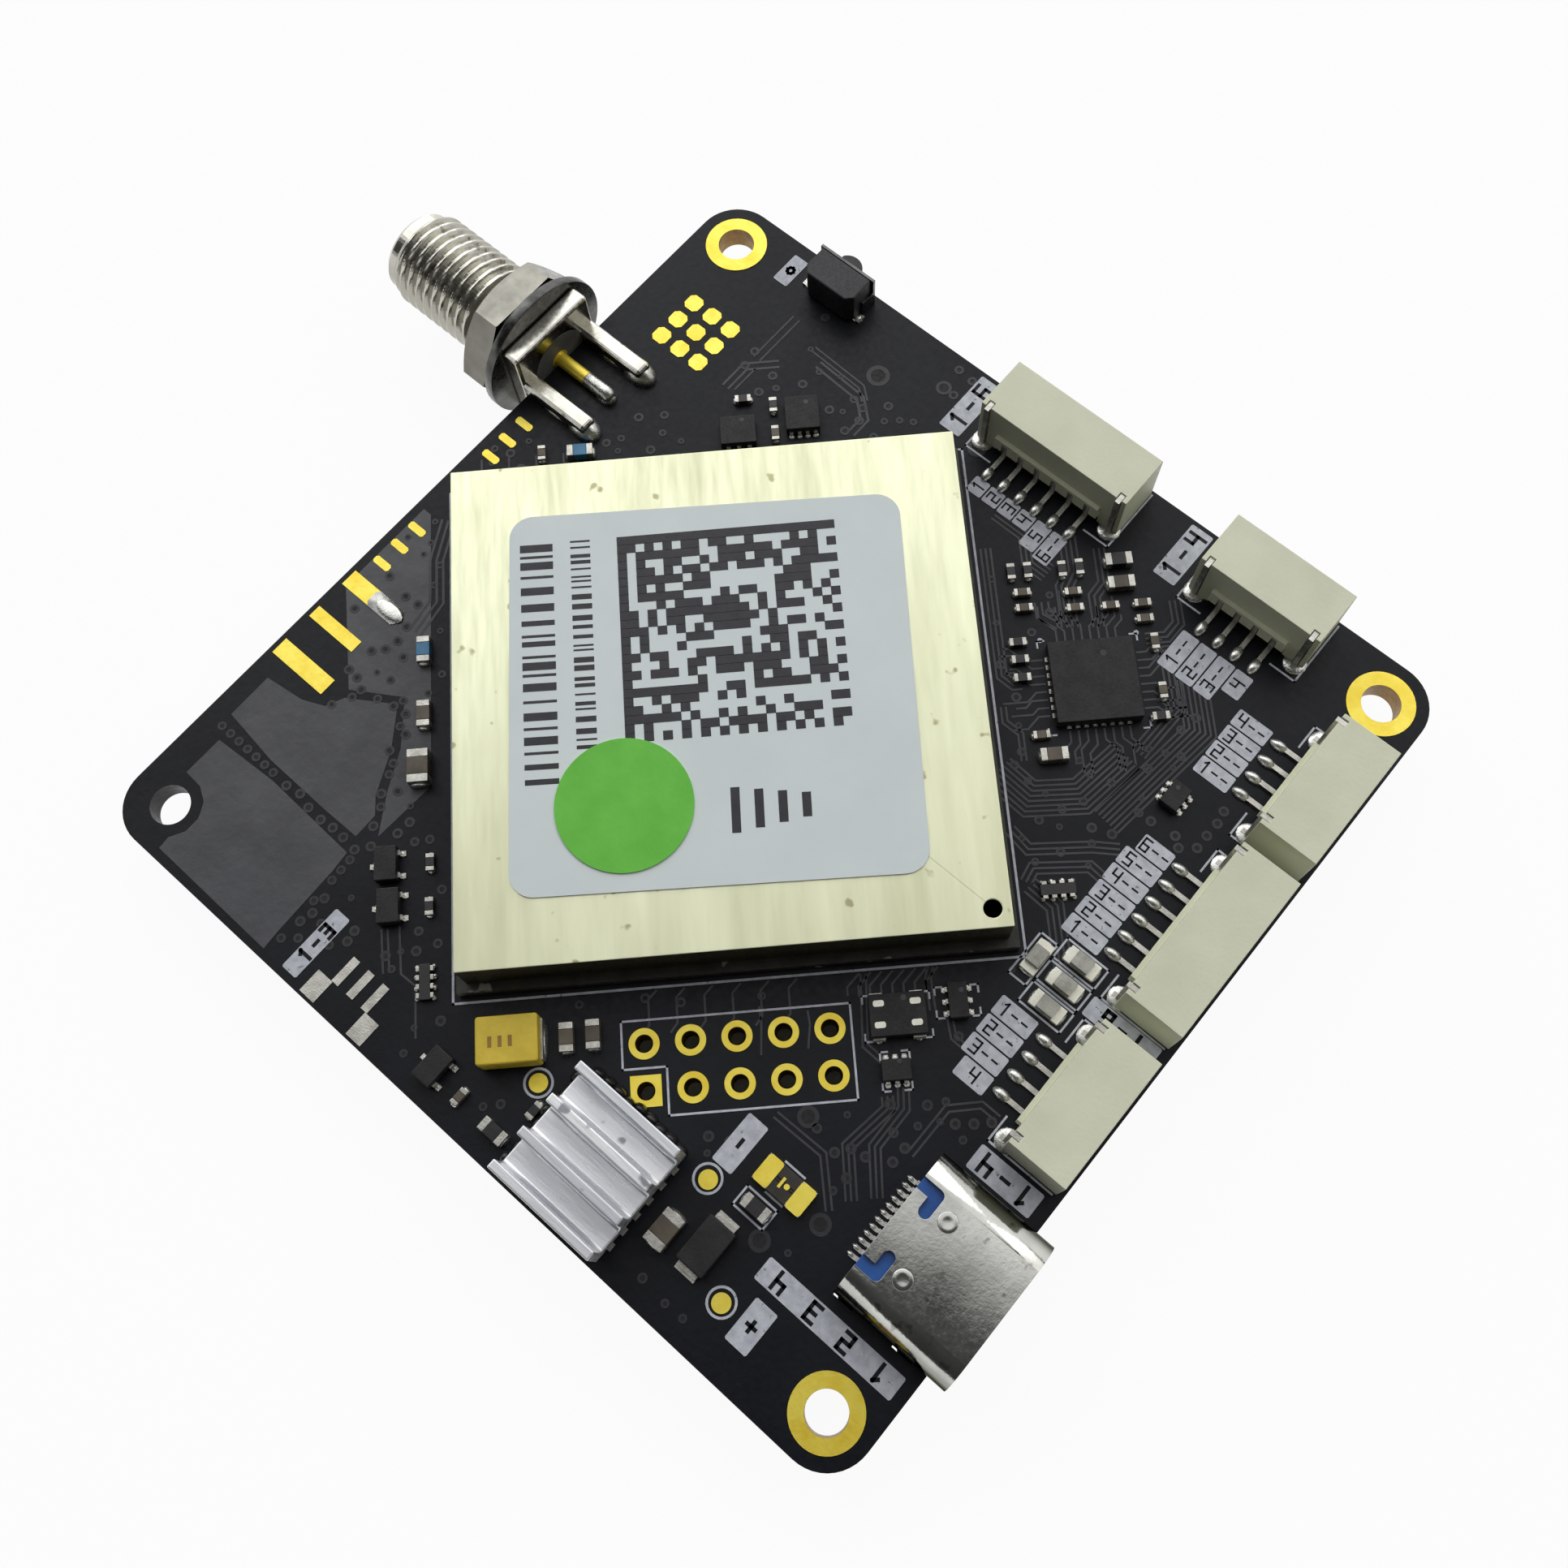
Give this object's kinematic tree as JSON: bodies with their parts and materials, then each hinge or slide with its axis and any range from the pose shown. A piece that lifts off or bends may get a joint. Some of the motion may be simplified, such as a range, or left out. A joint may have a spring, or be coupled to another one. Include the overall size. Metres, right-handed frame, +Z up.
{
  "type": "satellite navigation receiver board",
  "caption": "Square circuit board with a shielded satellite receiver module set at 45 degrees, an edge coaxial socket, wire sockets, a USB socket, a side-push button and a finned heat sink.",
  "frame": {"origin": "centre of the four mounting holes, on the board's underside", "axes": "+Z up through the board towards its fitted face, +X towards the edge with the USB socket, +Y towards the edge with the push button; the coaxial socket points along -X"},
  "size_m": [0.069, 0.0556, 0.0095],
  "materials": {
    "solder_mask": "black solder mask over glass-fibre laminate",
    "gold_plating": "gold over nickel on copper",
    "tin": "tin plating and solder",
    "carrier_laminate": "dark laminate edge",
    "can_sheet": "plated sheet with a pale warm tint",
    "label_paper": "matt printed label",
    "green_sticker": "matt green paper",
    "chip_black": "moulded epoxy",
    "oscillator_metal": "plated lid",
    "nickel": "nickel plating",
    "washer_steel": "dark plated spring steel",
    "ptfe": "white fluoropolymer",
    "ivory_plastic": "ivory moulded polymer",
    "blue_plastic": "blue moulded polymer",
    "shell_metal": "nickel-plated sheet",
    "button_plastic": "charcoal moulded polymer",
    "sink_metal": "extruded, plain",
    "thermal_tape": "soft thermal tape",
    "tantalum_resin": "mustard moulded resin",
    "lamp_resin": "clear resin over a white base",
    "capacitor_ceramic": "grey-brown ceramic",
    "resistor_film": "black film on ceramic",
    "inductor_ceramic": "blue-coated ceramic",
    "fuse_resin": "dark resin"
  },
  "bodies": {
    "board": {"pcb": "solder_mask", "mounting_rings": "gold_plating", "header_pads": "gold_plating", "antenna_pads": "gold_plating", "test_pads": "gold_plating", "spare_socket_pads": "tin", "module_carrier": "carrier_laminate", "shield_can": "can_sheet", "module_label": "label_paper", "inspection_sticker": "green_sticker", "receiver_chip": "chip_black", "radio_chip": "chip_black", "reference_oscillator": "oscillator_metal", "coax_body": "nickel", "coax_nut": "nickel", "coax_washer": "washer_steel", "coax_insulator": "ptfe", "coax_center_pin": "gold_plating", "ethernet_housing": "ivory_plastic", "serial_c_housing": "ivory_plastic", "serial_b_housing": "ivory_plastic", "telemetry_housing": "ivory_plastic", "serial_a_housing": "ivory_plastic", "ethernet_contacts": "tin", "serial_c_contacts": "tin", "serial_b_contacts": "tin", "telemetry_contacts": "tin", "serial_a_contacts": "tin", "socket_solder_tabs": "tin", "usb_shell": "shell_metal", "usb_insulator": "blue_plastic", "usb_contacts": "tin", "button_body": "button_plastic", "button_cover": "nickel", "button_dome": "nickel", "button_terminals": "tin", "heatsink": "sink_metal", "thermal_pad": "thermal_tape", "regulator_chip": "chip_black", "regulator_leads": "tin", "tantalum_body": "tantalum_resin", "tantalum_terminals": "tin", "network_chip": "chip_black", "network_chip_pads": "tin", "small_chip_bodies": "chip_black", "small_chip_leads": "tin", "transistor_bodies": "chip_black", "transistor_leads": "tin", "lamp_bodies": "lamp_resin", "lamp_terminals": "tin", "capacitor_bodies": "capacitor_ceramic", "capacitor_terminals": "tin", "resistor_bodies": "resistor_film", "resistor_terminals": "tin", "inductor_bodies": "inductor_ceramic", "inductor_terminals": "tin", "fuse_body": "fuse_resin", "diode_body": "chip_black", "power_input_terminals": "tin"},
    "plunger": {"button_plunger": "button_plastic"}
  },
  "joints": [
    {"name": "button_press", "type": "slide", "parent": "board", "child": "plunger", "axis": [0, -1, 0], "range_m": [0, 0.00025], "stiffness_N_per_m": 2000}
  ]
}
